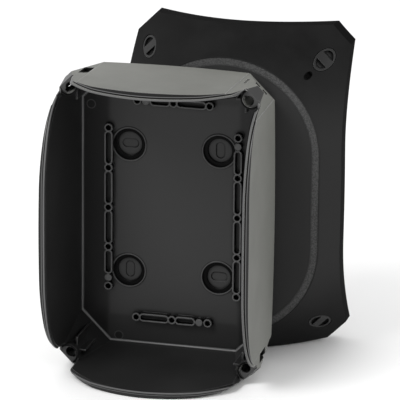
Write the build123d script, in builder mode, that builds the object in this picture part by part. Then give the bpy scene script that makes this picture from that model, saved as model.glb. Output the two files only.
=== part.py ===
from build123d import *
import os
from math import atan, atan2, degrees, radians, sqrt, tan

os.makedirs("parts", exist_ok=True)

# Cable junction box: an open base with its lid taken off and stood behind it.
# Every piece is drawn in the closed box's frame (X across, Y up the wall, Z out
# of the wall, rear face at Z = 0) and set upright in its place at the end.

# base, mm
front_half_width = 53.6  # at the pillars; the panels bow out beyond this
front_half_height = 79.0
panel_bow = 1.2
panel_half_width = 38.4  # where the bowed panels end and the pillars start
panel_half_height = 64.0
pillar_set_back = 0.35
side_draft = 1.6  # degrees, on the side walls and the lid's sides
end_draft = 2.9
base_floor = 3.5
wall = 3.7
floor_fillet = 1.2
rear_fillet = 2.0

# rim: an arch along each side wall and each end wall, as (place along the wall,
# height above the rear face) from the middle down to the towers' level
rim_height = 63.5
tower_height = 34.0
side_arch = [
    (0, 63.8), (25, 63.4), (37, 61.7), (46, 59.0), (55, 54.6), (62, 48.4), (66, 42.0),
    (68.6, tower_height),
]
end_arch = [
    (0, 66.9), (16, 64.6), (28, 60.0), (37.5, 52.0), (42.5, 46.3), (46, 41.0),
    (48.5, tower_height),
]

# corners, as |x| + |y| on 45 degree faces: they lean out from the rear to a
# ridge, then lean in again to the front
corner_back = 114.5
corner_ridge = 125.5
corner_ridge_height = 25.0
corner_front_lean = 0.28
cavity_corner = 107.1
cavity_corner_lean = 0.32

# lock towers in the corners, with a socket each, nearer to the middle
tower_x = 47.8
tower_y = 72.2
tower_radius = 5.4
tower_clearance = 0.7
lock_x = 46.6
lock_y = 71.0
socket_radius = 2.6
socket_bottom = 18.0
keyway_radius = 3.3
keyway_width = 1.8
undercut_bottom = 21.5
undercut_top = 25.0

# gussets between each tower and the walls beside it
gusset_width = 1.0
gusset_top = 31.0
gusset_reach = 8.4  # from the tower's axis
gusset_shift_x = 3.5  # from the tower's axis to the gusset that runs along Y
gusset_shift_y = 1.5

# seal
seal_gap = 0.2
seal_corner = 122.0  # the seal line stays inside this |x| + |y|
seal_level = 53.5  # height at which the drafted wall sets the seal line
tongue_inset = 1.6
tongue_width = 0.9
tongue_height = 1.0
tongue_tower_radius = 4.4
groove_side_gap = 0.3
groove_depth = 2.2
gasket_thickness = 1.6
gasket_side_gap = 0.1
riser_radius = 5.1  # inside of the gasket's upright runs at the towers

# screw boss chains on the floor
boss_pitch_x = 19.2
boss_pitch_y = 21.4
boss_column_x = 34.4
boss_row_y = 58.5
boss_height = 3.2
boss_radius = 2.25
boss_hole_radius = 1.45
boss_hole_depth = 5.2
chain_wall = 0.8
chain_slot_width = 2.8
chain_gap = 2.35  # boss centre to the end of the slot beside it
stop_disc_offset = 4.6  # boss centre to the stop disc beside it
stop_disc_radius = 1.9
short_slot_gap = 7.4  # boss centre to the slot past the stop disc

# wall fixing cups in the floor
cup_x = 23.9
cup_y = 34.1
cup_radius = 8.5
cup_depth = 1.0
cup_bead_height = 0.5
cup_bead_width = 0.7
well_radius = 6.4
well_depth = 2.2
fixing_slot_length = 8.6
fixing_slot_width = 4.6
fixing_web = 0.7

# coring pockets in the pillars
pocket_width = 5.2
pocket_length = 13.0
pocket_height = 21.0
pocket_edge = 1.0  # from the panel's end to the pocket
pocket_depth = 3.0
chamfer_pocket_width = 3.0
chamfer_pocket_length = 8.5
chamfer_pocket_height = 17.0
chamfer_pocket_spacing = 5.0
face_slot_width = 1.6
face_slot_length = 9.5
face_slot_depth = 0.8
face_slot_x = 41.5
face_slot_height = 18.5

# lid: its dished surface follows a cone that stands on a stadium
lid_overhang_x = 4.0  # past the base's walls
lid_overhang_y = 7.5
stadium_radius = 54.8
stadium_half_length = 24.5
cone_fall = 1.55  # drop of the cone for each mm away from the stadium
lid_rise = 12.0  # lid surface above the cone
lid_lip_rise = 1.0  # lower edge of the lip above the cone
lid_plateau_radius = 50.5
lid_plate = 2.8
lid_skirt = 2.2
lid_corner = 132.5
lid_boss_radius = 6.2
seal_rib_inset = 0.7
seal_rib_width = 2.9
band_width = 4.0
band_depth = 0.3
mark_side = 2.4
mark_depth = 0.9  # along the lid's surface normal
mark_offset = 8.0  # from the lock's axis towards the middle

# quarter-turn lid locks
lock_head_radius = 4.6
lock_head_gap = 0.35
lock_head_drop = 0.2  # below the lid's surface
lock_seat = 48.0
lock_seat_gap = 0.3
lock_shaft_radius = 2.0
lock_shaft_gap = 0.05
lock_foot = 19.5
lug_radius = 3.0
lug_width = 1.3
lug_bottom = 22.4
lug_top = 24.4
grip_width = 3.0
grip_recess = 1.6
grip_rim = 0.8

# where the two halves stand
lid_behind = 86.0
lid_beside = 24.5

# worked out from the above
tower_well = tower_radius + tower_clearance
groove_top = seal_gap + groove_depth
gasket_face = groove_top - gasket_thickness
slope_height = 60.0  # how far the corner slopes are drawn above and below their ridge
rim_cap = end_arch[0][1] + 2.0
arch_end = 100.0  # how far each arch's flat runs out, past the walls
lean_angle = degrees(atan(1.0 / cone_fall))
corner_rear_lean = (corner_ridge - corner_back) / corner_ridge_height
lid_top = rim_height + lid_rise + cone_fall * (stadium_radius - lid_plateau_radius)
cone_slant = sqrt(1 + cone_fall**2)  # upright distance for each mm square to the cone
lid_inner_rise = lid_rise - lid_skirt * cone_slant
lid_inner_corner = lid_corner - lid_skirt * sqrt(2)
corner_signs = [(-1, 1), (1, 1), (1, -1), (-1, -1)]
corner_names = ["top_left", "top_right", "bottom_right", "bottom_left"]
tower_places = [(sx * tower_x, sy * tower_y) for sx, sy in corner_signs]
lock_places = [(sx * lock_x, sy * lock_y) for sx, sy in corner_signs]
cup_places = [(sx * cup_x, sy * cup_y) for sx, sy in corner_signs]
far = 200.0  # past the end of any piece


def half_width(z):
    """Half width of the drafted outside at a height above the rear face."""
    return front_half_width - (rim_height - z) * tan(radians(side_draft))


def half_height(z):
    """Half height of the drafted outside at a height above the rear face."""
    return front_half_height - (rim_height - z) * tan(radians(end_draft))


def outline(z, grow_x, grow_y, corner):
    """Outside section: four bowed sides with 45 degree corners."""
    w = half_width(z) + grow_x
    h = half_height(z) + grow_y
    x, y = corner - h, corner - w
    with BuildSketch(Plane.XY.offset(z)) as section:
        with BuildLine():
            ThreePointArc((w, -y), (w + panel_bow, 0), (w, y))
            Line((w, y), (x, h))
            ThreePointArc((x, h), (0, h + panel_bow), (-x, h))
            Line((-x, h), (-w, y))
            ThreePointArc((-w, y), (-w - panel_bow, 0), (-w, -y))
            Line((-w, -y), (-x, -h))
            ThreePointArc((-x, -h), (0, -h - panel_bow), (x, -h))
            Line((x, -h), (w, -y))
        make_face()
    return section.sketch


def block(bottom, top, grow_x, grow_y, corner):
    """Drafted block with the outside's section."""
    with BuildPart() as drafted:
        add(outline(bottom, grow_x, grow_y, corner))
        add(outline(top, grow_x, grow_y, corner))
        loft(ruled=True)
    return drafted.part


def stadium_cone(rise, top):
    """Solid under the lid's cone, raised by rise and cut flat at top."""
    foot = stadium_radius + (rim_height + rise) / cone_fall
    with BuildPart() as cone:
        with BuildSketch():
            SlotCenterToCenter(2 * stadium_half_length, 2 * foot, rotation=90)
        extrude(amount=top, taper=lean_angle)
    return cone.part


def diamond(corner):
    """Square turned 45 degrees, with |x| + |y| = corner on its edges."""
    with BuildSketch() as square:
        Rectangle(corner * sqrt(2), corner * sqrt(2), rotation=45)
    return square.sketch


def corner_pyramid(bottom, bottom_corner, top, top_corner):
    """Block whose four 45 degree faces lean from one height to another."""
    with BuildPart() as pyramid:
        with BuildSketch(Plane.XY.offset(bottom)):
            add(diamond(bottom_corner))
        with BuildSketch(Plane.XY.offset(top)):
            add(diamond(top_corner))
        loft(ruled=True)
    return pyramid.part


def posts(places, radius, bottom, top):
    """Upright cylinders, one at each corner."""
    with BuildPart() as cylinders:
        with BuildSketch(Plane.XY.offset(bottom)):
            with Locations(*places):
                Circle(radius)
        extrude(amount=top - bottom)
    return cylinders.part


def arch_block(plane, arch, lift):
    """Everything under an arch and its mirror image, raised square to the arch."""
    path = [(-along, height) for along, height in reversed(arch[1:])] + arch
    with BuildPart() as under:
        with BuildSketch(plane):
            with BuildLine():
                for i in range(0, len(path) - 2, 2):
                    ThreePointArc(*path[i : i + 3])
                Polyline(
                    path[-1],
                    (arch_end, tower_height),
                    (arch_end, 0),
                    (-arch_end, 0),
                    (-arch_end, tower_height),
                    path[0],
                )
            make_face()
            if lift > 0:
                offset(amount=lift)
        extrude(amount=arch_end, both=True)
    return under.part


def front_slopes(lift):
    """Space under the rim's arches and the corner slopes, all raised by lift."""
    ridge = corner_ridge + lift * corner_front_lean
    with BuildPart() as slopes:
        add(arch_block(Plane.XZ, end_arch, lift))
        add(arch_block(Plane.YZ, side_arch, lift))
        add(
            corner_pyramid(
                corner_ridge_height - slope_height,
                ridge + slope_height * corner_front_lean,
                corner_ridge_height + slope_height,
                ridge - slope_height * corner_front_lean,
            ),
            mode=Mode.INTERSECT,
        )
    return slopes.part


def front_envelope(lift, well):
    """The same space with a round well down to each tower's top."""
    with BuildPart() as envelope:
        add(front_slopes(lift))
        add(posts(tower_places, well, tower_height + lift, far), mode=Mode.SUBTRACT)
    return envelope.part


def seal_area(inset):
    """Area inside the seal line, with the corners left square."""
    w = half_width(seal_level) + panel_bow / 2 - inset
    h = half_height(seal_level) + panel_bow / 2 - inset
    with BuildSketch() as area:
        Rectangle(2 * w, 2 * h)
    return area.sketch


def seal_area_round_towers(inset, tower_clear):
    """The same area with a bite round each tower."""
    with BuildSketch() as area:
        add(seal_area(inset))
        with Locations(*tower_places):
            Circle(tower_clear, mode=Mode.SUBTRACT)
    return area.sketch


def seal_ring(inset, width, tower_clear, bottom):
    """Upright ring on the seal line, to be trimmed between two envelopes."""
    with BuildPart() as ring:
        with BuildSketch(Plane.XY.offset(bottom)):
            add(seal_area_round_towers(inset, tower_clear))
            add(seal_area_round_towers(inset + width, tower_clear + width), mode=Mode.SUBTRACT)
            add(diamond(seal_corner), mode=Mode.INTERSECT)
        extrude(amount=lid_top - bottom)
    return ring.part


def seal_risers(inset, width, inner, outer, bottom):
    """Upright runs where the seal climbs from each tower's top to the rim."""
    with BuildPart() as walls:
        with BuildSketch(Plane.XY.offset(bottom)):
            add(seal_area(inset))
            add(seal_area(inset + width), mode=Mode.SUBTRACT)
        extrude(amount=lid_top - bottom)
    with BuildPart() as risers:
        add(posts(tower_places, outer, bottom, lid_top))
        add(posts(tower_places, inner, bottom, lid_top), mode=Mode.SUBTRACT)
        add(walls.part, mode=Mode.INTERSECT)
        add(front_slopes(groove_top), mode=Mode.INTERSECT)
    return risers.part


def chain_slots(pitch, bosses, side):
    """Slots of one chain, down the page; the last one stops short of a disc."""
    span = pitch * (bosses - 1)
    with BuildSketch() as plan:
        for i in range(bosses - 1):
            start = span / 2 - i * pitch - chain_gap
            tail = short_slot_gap if i == bosses - 2 else chain_gap
            end = span / 2 - (i + 1) * pitch + tail
            with Locations((0, (start + end) / 2)):
                SlotOverall(start - end + 2 * side, chain_slot_width + 2 * side, rotation=90)
    return plan.sketch


def chain_circles(pitch, bosses, radius):
    """One circle on each boss of a chain."""
    with BuildSketch() as plan:
        with GridLocations(0, pitch, 1, bosses):
            Circle(radius)
    return plan.sketch


def chain_body(pitch, bosses):
    """Outside of one chain: bosses, slot walls and the stop disc."""
    with BuildSketch() as plan:
        add(chain_slots(pitch, bosses, chain_wall))
        add(chain_circles(pitch, bosses, boss_radius))
        with Locations((0, stop_disc_offset - pitch * (bosses - 1) / 2)):
            Circle(stop_disc_radius)
    return plan.sketch


def inward(sx, sy, x, y):
    """Place at (x, y) with its X axis towards the middle of the box."""
    return Location((x, y, 0), (0, 0, degrees(atan2(-sy, -sx))))


# place, turn, pitch and count of each chain
chains = [
    (Location((-boss_column_x, 0, 0), (0, 0, 0)), boss_pitch_y, 5),
    (Location((boss_column_x, 0, 0), (0, 0, 180)), boss_pitch_y, 5),
    (Location((0, -boss_row_y, 0), (0, 0, 90)), boss_pitch_x, 3),
    (Location((0, boss_row_y, 0), (0, 0, -90)), boss_pitch_x, 3),
]

# cavity, its corner walls leaning out towards the front
with BuildPart() as cavity:
    for z in (base_floor, rim_cap + 5.0):
        with BuildSketch(Plane.XY.offset(z)):
            Rectangle(
                2 * (half_width(z) + panel_bow - wall),
                2 * (half_height(z) + panel_bow - wall),
            )
    loft(ruled=True)
    add(
        corner_pyramid(
            base_floor - 1.0,
            cavity_corner - cavity_corner_lean,
            rim_cap + 6.0,
            cavity_corner + (rim_cap + 6.0 - base_floor) * cavity_corner_lean,
        ),
        mode=Mode.INTERSECT,
    )
    fillet(cavity.edges().group_by(Axis.Z)[0], floor_fillet)

# what the pillars lack beside the bowed panels
with BuildPart() as pillar_step:
    add(block(-1.0, rim_cap + 5.0, 5.0, 5.0, corner_ridge + 8.0))
    inset = -pillar_set_back
    add(block(-1.0, rim_cap + 5.0, inset, inset, corner_ridge), mode=Mode.SUBTRACT)
    with BuildSketch(Plane.XY.offset(-2.0)):
        Rectangle(2 * far, 2 * panel_half_height)
        Rectangle(2 * panel_half_width, 2 * far)
    extrude(amount=far, mode=Mode.SUBTRACT)

# base before it is hollowed
with BuildPart() as base_block:
    add(block(0.0, rim_cap + 3.0, 0.0, 0.0, corner_ridge))
    fillet(base_block.edges().group_by(Axis.Z)[0], rear_fillet)
    add(
        corner_pyramid(
            -1.0,
            corner_back - corner_rear_lean,
            rim_cap + 4.0,
            corner_back + (rim_cap + 4.0) * corner_rear_lean,
        ),
        mode=Mode.INTERSECT,
    )
    add(front_envelope(0.0, tower_well), mode=Mode.INTERSECT)
    add(pillar_step.part, mode=Mode.SUBTRACT)

# towers for the lid locks, each with its two gussets
with BuildPart() as lock_towers:
    add(posts(tower_places, tower_radius, base_floor, tower_height))
    with BuildSketch(Plane.XY.offset(base_floor)):
        for sx, sy in corner_signs:
            towards_x = (Align.MAX if sx > 0 else Align.MIN, Align.CENTER)
            with Locations((sx * tower_x, sy * (tower_y - gusset_shift_y))):
                Rectangle(gusset_reach, gusset_width, align=towards_x)
            towards_y = (Align.CENTER, Align.MAX if sy > 0 else Align.MIN)
            with Locations((sx * (tower_x - gusset_shift_x), sy * tower_y)):
                Rectangle(gusset_width, gusset_reach, align=towards_y)
    extrude(amount=gusset_top - base_floor)
    add(base_block.part, mode=Mode.INTERSECT)

# tongue that stands on the rim and runs round the towers
with BuildPart() as tongue:
    add(seal_ring(tongue_inset, tongue_width, tongue_tower_radius, tower_height - 2.0))
    add(front_envelope(tongue_height, tower_well), mode=Mode.INTERSECT)

# bayonet sockets in the towers: keyway beside the bore, undercut on the outer side
with BuildPart() as sockets:
    add(posts(lock_places, socket_radius, socket_bottom, far))
    with BuildSketch(Plane.XY.offset(undercut_bottom)):
        for (sx, sy), (x, y) in zip(corner_signs, lock_places):
            with Locations(inward(sx, sy, x, y)):
                Rectangle(keyway_width, keyway_radius, align=(Align.CENTER, Align.MAX))
    extrude(amount=far)
    with BuildSketch(Plane.XY.offset(undercut_bottom)):
        with Locations(*lock_places):
            Circle(keyway_radius)
        for (sx, sy), (x, y) in zip(corner_signs, lock_places):
            with Locations(inward(sx, sy, x, y)):
                Rectangle(
                    keyway_radius,
                    2 * keyway_radius,
                    align=(Align.MIN, Align.CENTER),
                    mode=Mode.SUBTRACT,
                )
    extrude(amount=undercut_top - undercut_bottom)

with BuildPart() as housing_base:
    add(base_block.part)
    add(cavity.part, mode=Mode.SUBTRACT)
    add(lock_towers.part)
    add(tongue.part)
    add(sockets.part, mode=Mode.SUBTRACT)

    # fixing cups: bead, step, well and a thin web over each fixing slot
    with BuildSketch(Plane.XY.offset(base_floor)):
        with Locations(*cup_places):
            Circle(cup_radius + cup_bead_width)
    extrude(amount=cup_bead_height)
    with BuildSketch(Plane.XY.offset(base_floor - cup_depth)):
        with Locations(*cup_places):
            Circle(cup_radius)
    extrude(amount=2 * cup_depth, mode=Mode.SUBTRACT)
    with BuildSketch(Plane.XY.offset(base_floor - well_depth)):
        with Locations(*cup_places):
            Circle(well_radius)
    extrude(amount=well_depth, mode=Mode.SUBTRACT)
    with BuildSketch(Plane.XY.offset(fixing_web)):
        for (sx, sy), (x, y) in zip(corner_signs, cup_places):
            with Locations((x, y)):
                turn = 0 if sx * sy < 0 else 90
                SlotOverall(fixing_slot_length, fixing_slot_width, rotation=turn)
    extrude(amount=base_floor - fixing_web, mode=Mode.SUBTRACT)

    # screw boss chains
    with BuildSketch(Plane.XY.offset(base_floor - cup_depth)):
        for place, pitch, bosses in chains:
            add(chain_body(pitch, bosses).moved(place))
    extrude(amount=boss_height + cup_depth)
    with BuildSketch(Plane.XY.offset(base_floor + boss_height)):
        for place, pitch, bosses in chains:
            add(chain_slots(pitch, bosses, 0.0).moved(place))
    extrude(amount=-boss_height, mode=Mode.SUBTRACT)
    with BuildSketch(Plane.XY.offset(base_floor + boss_height)):
        for place, pitch, bosses in chains:
            add(chain_circles(pitch, bosses, boss_hole_radius).moved(place))
    extrude(amount=-boss_hole_depth, mode=Mode.SUBTRACT)

    # pockets in the pillars' flat faces, at two opposite corners
    pocket_foot = pocket_height - pocket_length / 2
    pocket_x = half_width(pocket_height) - pocket_depth
    pocket_y = half_height(pocket_height) - pocket_depth
    with BuildSketch(Plane.XY.offset(pocket_foot)):
        for sx, sy in (corner_signs[0], corner_signs[2]):
            with Locations((sx * (panel_half_width + pocket_edge + pocket_width / 2), sy * pocket_y)):
                Rectangle(pocket_width, 10, align=(Align.CENTER, Align.MIN if sy > 0 else Align.MAX))
            with Locations((sx * pocket_x, sy * (panel_half_height + pocket_edge + pocket_width / 2))):
                Rectangle(10, pocket_width, align=(Align.MIN if sx > 0 else Align.MAX, Align.CENTER))
    extrude(amount=pocket_length, mode=Mode.SUBTRACT)

    # paired pockets in the 45 degree faces and a narrow slot, at the other two
    chamfer_face = (corner_back + chamfer_pocket_height * corner_rear_lean) / sqrt(2)
    beside = (tower_y - tower_x) / sqrt(2)  # from the diagonal to the tower
    with BuildSketch(Plane.XY.offset(chamfer_pocket_height - chamfer_pocket_length / 2)):
        for sx, sy in (corner_signs[1], corner_signs[3]):
            with Locations(inward(-sx, -sy, 0, 0)):
                with Locations((chamfer_face - pocket_depth, beside)):
                    with GridLocations(0, chamfer_pocket_spacing, 1, 2):
                        Rectangle(10, chamfer_pocket_width, align=(Align.MIN, Align.CENTER))
    extrude(amount=chamfer_pocket_length, mode=Mode.SUBTRACT)
    slot_y = half_height(face_slot_height) - face_slot_depth
    with BuildSketch(Plane.XY.offset(face_slot_height - face_slot_length / 2)):
        for sx, sy in (corner_signs[1], corner_signs[3]):
            with Locations((sx * face_slot_x, sy * slot_y)):
                Rectangle(face_slot_width, 5, align=(Align.CENTER, Align.MIN if sy > 0 else Align.MAX))
    extrude(amount=face_slot_length, mode=Mode.SUBTRACT)

# outside and inside of the lid
with BuildPart() as lid_outside:
    add(block(corner_ridge_height, lid_top + 2.0, lid_overhang_x, lid_overhang_y, lid_corner))
    add(stadium_cone(lid_rise, lid_top), mode=Mode.INTERSECT)

with BuildPart() as lid_inside:
    inner_x, inner_y = lid_overhang_x - lid_skirt, lid_overhang_y - lid_skirt
    add(block(0.0, lid_top + 2.0, inner_x, inner_y, lid_inner_corner))
    add(stadium_cone(lid_inner_rise, lid_top - lid_plate), mode=Mode.INTERSECT)

# what presses on the base's rim: a rib on the seal line and a boss at each lock
with BuildPart() as seal_rib:
    add(
        seal_ring(
            seal_rib_inset,
            seal_rib_width,
            tongue_tower_radius - tongue_inset + seal_rib_inset,
            tower_height,
        )
    )
    add(posts(lock_places, lid_boss_radius, tower_height, lid_top))
    add(front_envelope(seal_gap, tower_well - seal_gap), mode=Mode.SUBTRACT)
    add(lid_outside.part, mode=Mode.INTERSECT)

with BuildPart() as groove:
    groove_inset = tongue_inset - groove_side_gap
    groove_width = tongue_width + 2 * groove_side_gap
    add(seal_ring(groove_inset, groove_width, tongue_tower_radius - groove_side_gap, tower_height))
    add(front_envelope(groove_top, tower_well), mode=Mode.INTERSECT)
    add(
        seal_risers(
            groove_inset,
            groove_width,
            riser_radius - gasket_side_gap,
            tower_well + gasket_side_gap,
            tower_height,
        )
    )

# small square mark beside the top right lock
with BuildPart() as mark:
    mark_reach = mark_offset / sqrt(2)
    with BuildSketch(Plane.XY.offset(lock_seat)):
        with Locations((lock_x - mark_reach, lock_y - mark_reach)):
            Rectangle(mark_side, mark_side, rotation=45)
    extrude(amount=lid_top)
    add(stadium_cone(lid_rise - mark_depth * cone_slant, lid_top), mode=Mode.SUBTRACT)

with BuildPart() as lid:
    add(lid_outside.part)
    add(stadium_cone(lid_lip_rise, rim_cap + lid_lip_rise), mode=Mode.SUBTRACT)
    add(lid_inside.part, mode=Mode.SUBTRACT)
    add(seal_rib.part)
    add(groove.part, mode=Mode.SUBTRACT)
    add(mark.part, mode=Mode.SUBTRACT)
    add(posts(lock_places, lock_head_radius + lock_head_gap, lock_seat, far), mode=Mode.SUBTRACT)
    shaft_hole = lock_shaft_radius + lock_shaft_gap
    add(posts(lock_places, shaft_hole, tower_height, lock_seat + 1.0), mode=Mode.SUBTRACT)

    # shallow band round the plateau
    with BuildSketch(Plane.XY.offset(lid_top - band_depth)):
        SlotCenterToCenter(
            2 * stadium_half_length, 2 * (lid_plateau_radius - band_depth), rotation=90
        )
        SlotCenterToCenter(
            2 * stadium_half_length,
            2 * (lid_plateau_radius - band_depth - band_width),
            rotation=90,
            mode=Mode.SUBTRACT,
        )
    extrude(amount=1.0, mode=Mode.SUBTRACT)

# soft seal in the lid's groove
with BuildPart() as lid_gasket:
    gasket_inset = groove_inset + gasket_side_gap
    gasket_width = groove_width - 2 * gasket_side_gap
    gasket_tower_radius = tongue_tower_radius - groove_side_gap + gasket_side_gap
    add(seal_ring(gasket_inset, gasket_width, gasket_tower_radius, tower_height))
    add(front_envelope(groove_top, tower_well), mode=Mode.INTERSECT)
    add(front_envelope(gasket_face, tower_well), mode=Mode.SUBTRACT)
    add(
        seal_risers(
            gasket_inset,
            gasket_width,
            riser_radius,
            tower_well,
            tower_height + gasket_face,
        )
    )

# quarter-turn lid locks: head with a raised bar grip, shaft and one lug
locks = []
for (sx, sy), (x, y), corner in zip(corner_signs, lock_places, corner_names):
    with BuildPart() as grip_sides:
        with BuildSketch(Plane.XY.offset(lock_seat)):
            with Locations(inward(sx, sy, x, y)):
                Circle(lock_head_radius - grip_rim)
                Rectangle(grip_width, 3 * lock_head_radius, mode=Mode.SUBTRACT)
        extrude(amount=lid_top)
        add(stadium_cone(lid_rise - grip_recess * cone_slant, lid_top), mode=Mode.SUBTRACT)
    with BuildPart() as lock:
        with BuildSketch(Plane.XY.offset(lock_seat + lock_seat_gap)):
            with Locations((x, y)):
                Circle(lock_head_radius)
        extrude(amount=lid_top)
        add(stadium_cone(lid_rise - lock_head_drop, lid_top), mode=Mode.INTERSECT)
        add(grip_sides.part, mode=Mode.SUBTRACT)
        with BuildSketch(Plane.XY.offset(lock_foot)):
            with Locations((x, y)):
                Circle(lock_shaft_radius)
        extrude(amount=lock_seat + 1.0 - lock_foot)
        with BuildSketch(Plane.XY.offset(lug_bottom)):
            with Locations(inward(sx, sy, x, y)):
                Rectangle(lug_width, lug_radius, align=(Align.CENTER, Align.MAX))
        extrude(amount=lug_top - lug_bottom)
    lock.part.label = "lid_lock_" + corner
    locks.append(lock.part)

# stand the base and, behind it, everything that came off with the lid
housing_base.part.label = "housing_base"
lid.part.label = "lid"
lid_gasket.part.label = "lid_gasket"
upright = (90, 0, 0)
standing = [
    ([housing_base.part], Location((0, 0, 0), upright)),
    ([lid.part, lid_gasket.part] + locks, Location((lid_beside, lid_behind, 0), upright)),
]
for pieces, place in standing:
    for piece in pieces:
        piece.locate(place)
    floor = Location((0, 0, -pieces[0].bounding_box().min.Z))
    for piece in pieces:
        piece.locate(floor * place)

# origin: middle of the whole set's box, on the surface it stands on
box = housing_base.part.bounding_box().add(lid.part.bounding_box())
for lock in locks:
    box = box.add(lock.bounding_box())
home = Location((-(box.min.X + box.max.X) / 2, -(box.min.Y + box.max.Y) / 2, 0))
for pieces, place in standing:
    for piece in pieces:
        piece.locate(home * piece.location)
        print(piece.label, piece.is_valid, len(piece.solids()), piece.location.position)
        export_step(piece, "parts/" + piece.label + ".step")
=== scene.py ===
from math import cos, radians, sin

import bpy
from mathutils import Matrix, Vector

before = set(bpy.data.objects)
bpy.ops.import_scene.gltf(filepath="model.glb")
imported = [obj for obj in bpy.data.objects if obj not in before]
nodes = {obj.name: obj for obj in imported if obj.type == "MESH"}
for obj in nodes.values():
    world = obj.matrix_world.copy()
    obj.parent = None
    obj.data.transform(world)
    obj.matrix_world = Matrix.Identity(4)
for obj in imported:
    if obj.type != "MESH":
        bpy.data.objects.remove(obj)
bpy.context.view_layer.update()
scene = bpy.context.scene

MM = 0.001

# what the materials need of the shape, in millimetres; out is the distance in front of a
# rear face, across and along are the distances from its middle
BASE_REAR_MIDDLE = (-14.32, 0.70, 80.37)
CLOSED_REAR_MIDDLE = (10.18, 86.70, 87.65)  # of the closed box that the lid belongs to
SIDE_WALL_ACROSS = 49.0
END_WALL_ALONG = 72.0
CORNER_WALL_SUM = 112.0
WALL_HEIGHT = 62.0
REAR_SKIN = 2.2
FLOOR_FRONT = 3.5
FILLET_TOP = FLOOR_FRONT + 1.3
FILLET_ALONG = 74.0
ROWS_ACROSS = 33.0
ROWS_ALONG = 57.5
BOSS_TOP = FLOOR_FRONT + 3.2
CUP_X, CUP_Y = 23.9, 34.1
CUP_RADIUS = 8.5
WELL_RADIUS = 6.4
EJECTOR_MARKS = ((-44.5, 54.0), (-29.4, -70.4))
EJECTOR_RADIUS = 2.25
TOWER_X, TOWER_Y = 47.8, 72.2
TOWER_RADIUS = 6.0
TOWER_TOP = 34.0
TONGUE_X, TONGUE_Y = 51.4, 76.6  # inner faces of the sealing tongue
TONGUE_WIDTH = 0.9
LINE_FROM, LINE_TO = 1.7, 2.05  # thin painted highlight line on the rim, beyond the tongue's inner face
LID_TOP = 82.17
STADIUM_HALF_LENGTH = 24.5
BAND_OUTER = 50.2
BAND_INNER = 46.2
MARK_X, MARK_Y = 40.94, 65.34  # the small square mark on the lid
MARK_RADIUS = 1.8
SKIRT_ACROSS, SKIRT_ALONG = 52.0, 76.0


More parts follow.
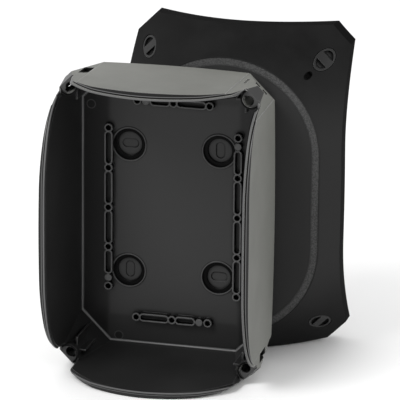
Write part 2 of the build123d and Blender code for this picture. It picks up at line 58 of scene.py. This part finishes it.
# ---------------------------------------------------------------- node helpers
class Nodes:
    """Short calls that add and join shader nodes."""

    def __init__(self, name):
        self.material = bpy.data.materials.new(name)
        self.material.use_nodes = True
        self.tree = self.material.node_tree
        self.shader = self.tree.nodes["Principled BSDF"]

    def set(self, socket, value):
        if isinstance(value, bpy.types.NodeSocket):
            self.tree.links.new(value, socket)
        else:
            socket.default_value = value

    def add(self, kind, **settings):
        node = self.tree.nodes.new(kind)
        for key, value in settings.items():
            setattr(node, key, value)
        return node

    def math(self, operation, a, b=0.0):
        node = self.add("ShaderNodeMath", operation=operation)
        self.set(node.inputs[0], a)
        self.set(node.inputs[1], b)
        return node.outputs[0]

    def product(self, first, *others):
        for value in others:
            first = self.math("MULTIPLY", first, value)
        return first

    def highest(self, first, *others):
        for value in others:
            first = self.math("MAXIMUM", first, value)
        return first

    def distance(self, a, b):
        return self.math("SQRT", self.math("ADD", self.math("POWER", a, 2.0), self.math("POWER", b, 2.0)))

    def step(self, value, low, high):
        """0 below low, 1 above high, smooth between them."""
        node = self.add("ShaderNodeMapRange", interpolation_type="SMOOTHSTEP")
        self.set(node.inputs["Value"], value)
        node.inputs["From Min"].default_value = low
        node.inputs["From Max"].default_value = high
        return node.outputs[0]

    def below(self, value, low, high):
        """1 below low, 0 above high, smooth between them."""
        return self.math("SUBTRACT", 1.0, self.step(value, low, high))

    def between(self, value, rise, fall):
        """1 between two limits, each a pair of values that the change lies between."""
        return self.product(self.step(value, *rise), self.below(value, *fall))

    def remap(self, value, low, high, to_low, to_high):
        node = self.add("ShaderNodeMapRange")
        self.set(node.inputs["Value"], value)
        node.inputs["From Min"].default_value = low
        node.inputs["From Max"].default_value = high
        node.inputs["To Min"].default_value = to_low
        node.inputs["To Max"].default_value = to_high
        return node.outputs[0]

    def locate(self, rear_middle):
        """Keep the place and the normal, seen from the middle of a rear face, in millimetres."""
        coordinates = self.add("ShaderNodeTexCoord")
        place = self.add("ShaderNodeSeparateXYZ")
        self.set(place.inputs[0], coordinates.outputs["Object"])
        self.x, y, self.z = [
            self.math("SUBTRACT", self.math("MULTIPLY", value, 1000.0), middle)
            for value, middle in zip(place.outputs, rear_middle)
        ]
        self.out = self.math("MULTIPLY", y, -1.0)
        self.across, self.along = self.math("ABSOLUTE", self.x), self.math("ABSOLUTE", self.z)
        geometry = self.add("ShaderNodeNewGeometry")
        normal = self.add("ShaderNodeSeparateXYZ")
        self.set(normal.inputs[0], geometry.outputs["True Normal"])
        self.normal_x, self.normal_y, self.normal_z = normal.outputs

    def away_from(self, across, along):
        """Distance from a point that is repeated in all four quarters."""
        past_x, past_z = self.math("SUBTRACT", self.across, across), self.math("SUBTRACT", self.along, along)
        return self.distance(past_x, past_z)

    def noise(self, scale, detail=4.0, roughness=0.5):
        coordinates = self.add("ShaderNodeTexCoord")
        node = self.add("ShaderNodeTexNoise")
        self.set(node.inputs["Vector"], coordinates.outputs["Object"])
        node.inputs["Scale"].default_value = scale
        node.inputs["Detail"].default_value = detail
        node.inputs["Roughness"].default_value = roughness
        return node.outputs["Fac"]

    def mix(self, factor, a, b):
        node = self.add("ShaderNodeMix", data_type="RGBA")
        self.set(node.inputs["Factor"], factor)
        self.set(node.inputs["A"], a)
        self.set(node.inputs["B"], b)
        return node.outputs["Result"]

    def edges(self, radius):
        """1 on sharp edges, fading out over a radius in millimetres."""
        bevel = self.add("ShaderNodeBevel", samples=8)
        bevel.inputs["Radius"].default_value = radius * MM
        geometry = self.add("ShaderNodeNewGeometry")
        dot = self.add("ShaderNodeVectorMath", operation="DOT_PRODUCT")
        self.set(dot.inputs[0], bevel.outputs[0])
        self.set(dot.inputs[1], geometry.outputs["Normal"])
        return self.step(self.math("SUBTRACT", 1.0, dot.outputs["Value"]), 0.02, 0.2)

    def nook_shade(self, distance):
        """0 deep in a nook, 1 in the open, over a distance in millimetres; a mask for painting shade."""
        node = self.add("ShaderNodeAmbientOcclusion", samples=12, only_local=True)
        node.inputs["Distance"].default_value = distance * MM
        return self.step(node.outputs["AO"], 0.45, 0.95)

    def bump(self, height, strength, distance, edge_radius):
        """Grain over rounded-looking edges."""
        bevel = self.add("ShaderNodeBevel", samples=8)
        bevel.inputs["Radius"].default_value = edge_radius * MM
        node = self.add("ShaderNodeBump")
        self.set(node.inputs["Height"], height)
        node.inputs["Strength"].default_value = strength
        node.inputs["Distance"].default_value = distance * MM
        self.set(node.inputs["Normal"], bevel.outputs[0])
        self.set(self.shader.inputs["Normal"], node.outputs[0])


def grey(value):
    return (value, value, value, 1.0)


OUTSIDE_DARK = (0.134, 0.136, 0.124, 1.0)
OUTSIDE_LIGHT = (0.157, 0.159, 0.146, 1.0)


def moulded(name, dark, light, roughness, grain, grain_strength, edge_radius, edge_grey_wear_and_highlight):
    """Moulded plastic: faint blotches, fine grain, edges lighter from scuffed wear and a painted highlight.
    """
    n = Nodes(name)
    blotch = n.noise(35.0, 5.0, 0.6)
    fine = n.noise(grain, 3.0, 0.7)
    scuff = n.noise(220.0, 6.0, 0.65)
    colour = n.mix(n.step(blotch, 0.35, 0.7), grey(dark), grey(light))
    # edges lighter: scuff noise for wear, and a painted highlight along every sharp edge
    edge_wear_and_highlight_mask = n.product(n.edges(edge_radius), n.remap(scuff, 0.3, 0.7, 0.55, 1.0))
    colour = n.mix(n.product(edge_wear_and_highlight_mask, 0.8), colour, grey(edge_grey_wear_and_highlight))
    n.set(n.shader.inputs["Base Color"], colour)
    blotched = n.remap(blotch, 0.3, 0.7, roughness - 0.05, roughness + 0.05)
    n.set(n.shader.inputs["Roughness"], n.math("ADD", n.remap(fine, 0.3, 0.7, -0.04, 0.05), blotched))
    n.bump(fine, grain_strength, 0.12, edge_radius)
    return n, colour, blotch, fine, edge_wear_and_highlight_mask


# ----------------------------------------------------------- the base's zones
def outer_faces(n):
    """1 on the outer walls, which face away from the cavity, and on the rear face."""
    away_x = n.product(n.math("SIGN", n.x), n.normal_x)
    away_z = n.product(n.math("SIGN", n.z), n.normal_z)
    side = n.product(n.step(n.across, SIDE_WALL_ACROSS, SIDE_WALL_ACROSS + 1.5), away_x)
    end = n.product(n.step(n.along, END_WALL_ALONG, END_WALL_ALONG + 1.5), away_z)
    at_corner = n.step(n.math("ADD", n.across, n.along), CORNER_WALL_SUM, CORNER_WALL_SUM + 1.0)
    corner = n.product(at_corner, n.math("ADD", away_x, away_z), 0.7)
    walls = n.product(n.step(n.highest(side, end, corner), 0.55, 0.65), n.step(n.normal_y, -0.2, -0.12))
    rear = n.product(n.step(n.normal_y, 0.4, 0.5), n.below(n.out, REAR_SKIN, REAR_SKIN + 0.2))
    return n.highest(walls, rear)


def paint_floor_light_and_shade(n, black, low):
    """Painted light and shade on the floor: lighter in the open (painted light), darker again outside the
    rows of bosses (painted shade), with painted highlights on the boss tops.
    """
    faces_front = n.below(n.normal_y, -0.98, -0.93)
    open_floor = n.product(faces_front, low)
    beyond_ends = n.product(n.step(n.along, ROWS_ALONG, ROWS_ALONG + 2.5), 0.5)
    beyond_rows = n.highest(n.step(n.across, ROWS_ACROSS, ROWS_ACROSS + 3.5), beyond_ends)
    # painted light: the open floor lighter; painted shade: darker again beyond the rows
    black = n.mix(open_floor, black, grey(0.0265))
    black = n.mix(n.product(open_floor, beyond_rows, 0.85), black, grey(0.002))
    at_top = n.between(n.out, (BOSS_TOP - 0.6, BOSS_TOP - 0.2), (BOSS_TOP + 0.2, BOSS_TOP + 0.6))
    # painted highlight on the boss tops
    black = n.mix(n.product(faces_front, at_top, 0.9), black, grey(0.085))
    # the ejector marks are only painted: a light ring round a darker middle
    for mark_x, mark_z in EJECTOR_MARKS:
        away = n.distance(n.math("SUBTRACT", n.x, mark_x), n.math("SUBTRACT", n.z, mark_z))
        edge_in, edge_out = EJECTOR_RADIUS - 0.1, EJECTOR_RADIUS + 0.1
        edge = n.between(away, (edge_in - 0.25, edge_in), (edge_out, edge_out + 0.25))
        black = n.mix(n.product(edge, open_floor), black, grey(0.045))
        pit = n.below(away, EJECTOR_RADIUS - 0.55, EJECTOR_RADIUS - 0.25)
        black = n.mix(n.product(pit, open_floor, 0.8), black, grey(0.004))
    return black


def paint_fillet_highlight(n, black, low):
    """A painted highlight: a light line on the fillet between the floor and the walls."""
    bend = n.product(n.step(n.normal_y, -0.99, -0.94), n.below(n.normal_y, -0.45, -0.25))
    reach = n.highest(n.product(n.across, 1.4), n.along)
    in_front = n.step(n.out, FLOOR_FRONT - 0.4, FLOOR_FRONT - 0.1)
    line = n.product(bend, low, in_front, n.below(reach, FILLET_ALONG, FILLET_ALONG + 1.0))
    return n.mix(n.product(line, 0.9), black, grey(0.13))


def paint_cup_light_and_shade(n, black, low):
    """Fixing cups, with painted shade making the step inside black and a painted highlight on the bead; also
    returns where the step is.
    """
    away = n.away_from(CUP_X, CUP_Y)
    sunk = n.between(n.out, (0.2, 0.4), (FLOOR_FRONT - 0.3, FLOOR_FRONT - 0.1))
    step = n.between(away, (WELL_RADIUS - 0.2, WELL_RADIUS + 0.2), (CUP_RADIUS + 0.1, CUP_RADIUS + 0.3))
    step = n.product(step, sunk)
    # painted shade: the cup's step near black
    black = n.mix(step, black, grey(0.0008))
    # painted highlight on the raised bead
    bead = n.between(away, (CUP_RADIUS - 0.2, CUP_RADIUS), (CUP_RADIUS + 0.6, CUP_RADIUS + 0.8))
    raised = n.step(n.out, FLOOR_FRONT + 0.1, FLOOR_FRONT + 0.4)
    return n.mix(n.product(bead, raised, low, 0.8), black, grey(0.07)), step


def paint_rim_light_and_shade(n, black):
    """Painted light and shade on the rim: a lip that darkens towards the top end (painted shade), a thin
    painted highlight line, a channel painted dark as shade, a painted highlight on the tongue, and the lock
    towers' tops painted grey as light.

    Also returns where the channel is.
    """
    past_x, past_z = n.math("SUBTRACT", n.across, TONGUE_X), n.math("SUBTRACT", n.along, TONGUE_Y)
    past = n.highest(past_x, past_z)
    rim = n.product(n.below(n.normal_y, -0.25, -0.15), n.step(n.out, TOWER_TOP - 0.8, TOWER_TOP - 0.4))
    tongue = n.between(past, (-0.15, 0.05), (TONGUE_WIDTH - 0.05, TONGUE_WIDTH + 0.15))
    line = n.between(past, (LINE_FROM - 0.1, LINE_FROM + 0.05), (LINE_TO - 0.05, LINE_TO + 0.1))
    # painted shade: the lip darker towards the top end
    lip = n.mix(n.step(n.z, 40.0, 74.0), grey(0.014), grey(0.002))
    # painted shade: the channel inside the thin line near black
    colour = n.mix(n.step(past, LINE_FROM, LINE_FROM + 0.2), grey(0.001), lip)
    # painted highlight on the tongue and the thin line
    colour = n.mix(n.highest(tongue, line), colour, grey(0.11))
    black = n.mix(n.product(rim, 0.9), black, colour)
    # painted light: the lock towers' tops grey
    on_tower = n.below(n.away_from(TOWER_X, TOWER_Y), TOWER_RADIUS - 0.1, TOWER_RADIUS + 0.1)
    tower_top = n.product(on_tower, n.below(n.out, TOWER_TOP + 0.3, TOWER_TOP + 0.6))
    black = n.mix(n.product(rim, tower_top), black, grey(0.050))
    return black, n.product(rim, n.below(past, LINE_FROM - 0.2, LINE_FROM))


# ------------------------------------------------------------------ materials
def base_material():
    """Glossy black inside and on the rim, grey on the outer walls."""
    n, black, blotch, fine, edge_wear_and_highlight_mask = moulded("base_plastic", 0.0145, 0.0190, 0.34, 2600.0, 0.10, 0.7, 0.16)
    n.locate(BASE_REAR_MIDDLE)
    outer = outer_faces(n)
    outside = n.mix(n.step(blotch, 0.3, 0.75), OUTSIDE_DARK, OUTSIDE_LIGHT)
    # painted shade: the outer walls darker towards the front
    outside = n.mix(n.remap(n.out, 0.0, WALL_HEIGHT, 0.0, 0.22), outside, grey(0.05))
    # painted highlight on the outer walls' edges, with some scuffed wear
    outside = n.mix(n.product(edge_wear_and_highlight_mask, 0.6), outside, grey(0.45))

    low = n.below(n.out, FILLET_TOP, FILLET_TOP + 0.5)
    black = paint_floor_light_and_shade(n, black, low)
    # painted shade: near black deep in nooks and beside raised parts
    black = n.mix(n.nook_shade(3.5), grey(0.0006), black)
    black = paint_fillet_highlight(n, black, low)
    black, cup_step_shade = paint_cup_light_and_shade(n, black, low)
    black, channel = paint_rim_light_and_shade(n, black)

    n.set(n.shader.inputs["Base Color"], n.mix(outer, black, outside))
    gloss = n.remap(fine, 0.3, 0.7, 0.27, 0.36)
    n.set(n.shader.inputs["Roughness"], n.math("ADD", gloss, n.product(outer, 0.25)))
    # less reflection where shade is painted in the cups' steps and the rim's channel, to keep them dark
    sheen = n.remap(n.highest(cup_step_shade, channel), 0.0, 1.0, 0.2, 0.05)
    n.set(n.shader.inputs["Specular IOR Level"], sheen)
    return n.material


def lid_material():
    """Matte black with a frosted band round the raised middle."""
    n, black, *_ = moulded("lid_plastic", 0.0065, 0.0100, 0.62, 1900.0, 0.35, 0.5, 0.030)
    n.locate(CLOSED_REAR_MIDDLE)
    radius = n.distance(n.across, n.highest(n.math("SUBTRACT", n.along, STADIUM_HALF_LENGTH), 0.0))
    front = n.step(n.out, LID_TOP - 1.5, LID_TOP - 1.0)
    inner, outer = (BAND_INNER - 0.5, BAND_INNER + 0.8), (BAND_OUTER - 0.8, BAND_OUTER + 0.5)
    band = n.product(n.between(radius, inner, outer), front)
    frosted = n.mix(n.step(n.noise(1500.0, 2.0, 0.8), 0.35, 0.65), grey(0.038), grey(0.082))
    # painted light: the raised middle lighter
    plateau = n.product(n.below(radius, BAND_INNER - 1.0, BAND_INNER + 1.0), front)
    black = n.mix(n.product(plateau, 0.75), black, grey(0.036))

    # painted light on the long sides' slopes, lighter also behind, and painted shade on the skirt
    slope = n.product(n.step(radius, BAND_OUTER - 1.0, BAND_OUTER + 1.0), n.below(n.along, 30.0, 75.0))
    black = n.mix(n.product(slope, 0.7), black, grey(0.026))
    beyond_side = n.step(n.across, SKIRT_ACROSS, SKIRT_ACROSS + 1.0)
    beyond_end = n.step(n.along, SKIRT_ALONG, SKIRT_ALONG + 1.0)
    skirt = n.product(n.highest(beyond_side, beyond_end), n.step(n.normal_y, -0.30, -0.15))
    black = n.mix(n.product(skirt, 0.9), black, grey(0.004))
    black = n.mix(n.product(n.step(n.normal_y, 0.1, 0.3), 0.8), black, grey(0.024))

    # painted shade: dark inside the small square mark
    from_mark = n.distance(n.math("SUBTRACT", n.x, MARK_X), n.math("SUBTRACT", n.z, MARK_Y))
    black = n.mix(n.below(from_mark, MARK_RADIUS - 0.05, MARK_RADIUS + 0.05), black, grey(0.0008))
    n.set(n.shader.inputs["Base Color"], n.mix(band, black, frosted))
    # less reflection on the skirt, to keep its painted shade dark
    n.set(n.shader.inputs["Specular IOR Level"], n.remap(skirt, 0.0, 1.0, 0.04, 0.005))
    return n.material


def lock_material():
    n, *_ = moulded("lock_plastic", 0.008, 0.014, 0.38, 2400.0, 0.12, 0.3, 0.10)
    n.shader.inputs["Specular IOR Level"].default_value = 0.2
    return n.material


def seal_material():
    n = Nodes("seal_rubber")
    pores = n.add("ShaderNodeTexVoronoi")
    coordinates = n.add("ShaderNodeTexCoord")
    n.set(pores.inputs["Vector"], coordinates.outputs["Object"])
    pores.inputs["Scale"].default_value = 1800.0
    n.set(n.shader.inputs["Base Color"], n.mix(n.step(n.noise(60.0), 0.3, 0.7), grey(0.022), grey(0.034)))
    n.set(n.shader.inputs["Roughness"], n.remap(pores.outputs["Distance"], 0.0, 0.6, 0.95, 0.75))
    n.bump(pores.outputs["Distance"], 0.4, 0.08, 0.2)
    return n.material


def floor_material():
    n = Nodes("floor_paper")
    n.set(n.shader.inputs["Base Color"], n.mix(n.noise(8.0), grey(0.88), grey(0.90)))
    n.shader.inputs["Roughness"].default_value = 0.7
    return n.material


finishes = {
    "housing_base": base_material(),
    "lid": lid_material(),
    "lid_gasket": seal_material(),
}
lock_finish = lock_material()
for name, node in nodes.items():
    node.data.materials.clear()
    node.data.materials.append(finishes.get(name, lock_finish))


# ---------------------------------------------------------- floor, light, view
FLOOR_REACH = 4.0
floor_corners = [(x * FLOOR_REACH, y * FLOOR_REACH, 0) for x, y in ((-1, -1), (1, -1), (1, 1), (-1, 1))]
floor_mesh = bpy.data.meshes.new("floor")
floor_mesh.from_pydata(floor_corners, [], [(0, 1, 2, 3)])
floor_mesh.materials.append(floor_material())
floor = bpy.data.objects.new("floor", floor_mesh)
scene.collection.objects.link(floor)

world = bpy.data.worlds.new("studio")
scene.world = world
world.use_nodes = True
background = world.node_tree.nodes["Background"]
background.inputs["Color"].default_value = (1.0, 1.0, 1.0, 1.0)
background.inputs["Strength"].default_value = 1.0


def area_light(name, place, target, size, watts):
    light = bpy.data.lights.new(name, "AREA")
    light.shape = "RECTANGLE"
    light.size, light.size_y = size
    light.energy = watts
    lamp = bpy.data.objects.new(name, light)
    lamp.location = place
    lamp.rotation_euler = (Vector(target) - Vector(place)).to_track_quat("-Z", "Y").to_euler()
    scene.collection.objects.link(lamp)


LIT_POINT = (0, 0, 0.08)
area_light("key", (-0.5, -0.9, 1.1), LIT_POINT, (0.6, 0.6), 12.0)
area_light("side", (1.1, -0.3, 0.5), LIT_POINT, (0.6, 0.8), 3.0)

# camera, solved from the rows of screw bosses
AZIMUTH, ELEVATION, ROLL = radians(14.93), radians(17.31), radians(0.4)
DISTANCE = 2063.6 * MM
FOCAL_PIXELS = 3997.9
PICTURE = 400.0
SENSOR = 36.0
SEEN_PIXEL_X, SEEN_PIXEL_Y = 174.0, 211.09  # where the middle of the base's floor is seen


def camera_place():
    """The camera's matrix, aimed so that the middle of the base's floor is seen at its pixel."""
    base_x, base_y, base_z = BASE_REAR_MIDDLE
    seen = Vector((base_x, base_y - FLOOR_FRONT, base_z)) * MM
    back = Vector((sin(AZIMUTH) * cos(ELEVATION), -cos(AZIMUTH) * cos(ELEVATION), sin(ELEVATION)))
    level_right = Vector((cos(AZIMUTH), sin(AZIMUTH), 0.0))
    right = level_right * cos(ROLL) + back.cross(level_right) * sin(ROLL)
    up = back.cross(right)
    eye = seen + back * DISTANCE
    to_middle = right * (PICTURE / 2 - SEEN_PIXEL_X) + up * (SEEN_PIXEL_Y - PICTURE / 2)
    aim = seen + to_middle * (DISTANCE / FOCAL_PIXELS)
    back = (eye - aim).normalized()
    right = (right - back * right.dot(back)).normalized()
    return Matrix.Translation(eye) @ Matrix((right, back.cross(right), back)).transposed().to_4x4()


camera_data = bpy.data.cameras.new("camera")
camera_data.sensor_width = SENSOR
camera_data.lens = FOCAL_PIXELS / PICTURE * SENSOR
camera_data.clip_end = 20.0
camera = bpy.data.objects.new("camera", camera_data)
camera.matrix_world = camera_place()
scene.collection.objects.link(camera)
scene.camera = camera
scene.view_settings.view_transform = "Standard"
